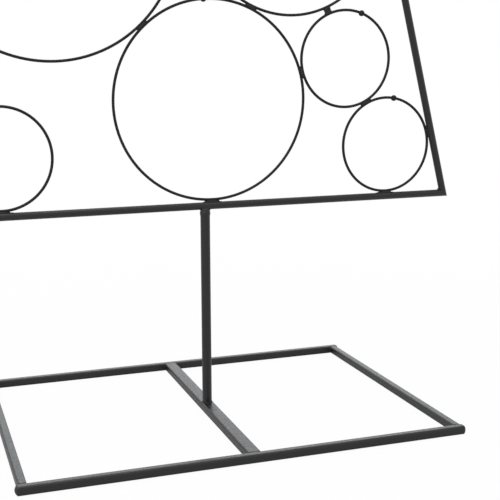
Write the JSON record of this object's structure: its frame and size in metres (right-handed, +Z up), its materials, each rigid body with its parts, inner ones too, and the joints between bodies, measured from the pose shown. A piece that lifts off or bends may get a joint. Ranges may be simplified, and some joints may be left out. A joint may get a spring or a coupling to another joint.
{
  "type": "ring tree display stand",
  "caption": "Tall triangular frame of round rod on a post and a flat rectangular base, filled with welded wire rings for hanging ornaments.",
  "frame": {"origin": "middle of the base's rectangle, on the floor", "axes": "+Z up along the post, +X along the wide side of the base and of the triangle, +Y from the front bar to the back bar"},
  "size_m": [0.6258, 0.339, 1.5005],
  "materials": {
    "black_coat": "satin powder coat",
    "end_plug": "matt"
  },
  "bodies": {
    "root": {"base_front_bar": "black_coat", "base_back_bar": "black_coat", "base_left_bar": "black_coat", "base_right_bar": "black_coat", "base_cross_bar": "black_coat", "base_end_plugs": "end_plug", "base_welds": "black_coat", "post": "black_coat", "post_foot_weld": "black_coat", "frame_collar": "black_coat", "frame_bottom_rod": "black_coat", "frame_left_rod": "black_coat", "frame_right_rod": "black_coat", "corner_welds": "black_coat", "ring_centre": "black_coat", "ring_foot_right": "black_coat", "ring_foot_left": "black_coat", "ring_low_right": "black_coat", "ring_mid_right": "black_coat", "ring_arc_left": "black_coat", "ring_waist": "black_coat", "ring_up_right": "black_coat", "ring_up_left": "black_coat", "ring_up_main": "black_coat", "ring_shoulder": "black_coat", "ring_neck_right": "black_coat", "ring_neck_left": "black_coat", "ring_crown_right": "black_coat", "ring_crown_left": "black_coat", "ring_crown_mid": "black_coat", "ring_tip": "black_coat", "ring_beads": "black_coat", "ring_welds_low": "black_coat", "ring_welds_middle": "black_coat", "ring_welds_high": "black_coat", "rod_welds_low": "black_coat", "rod_welds_middle": "black_coat", "rod_welds_high": "black_coat"}
  },
  "joints": []
}
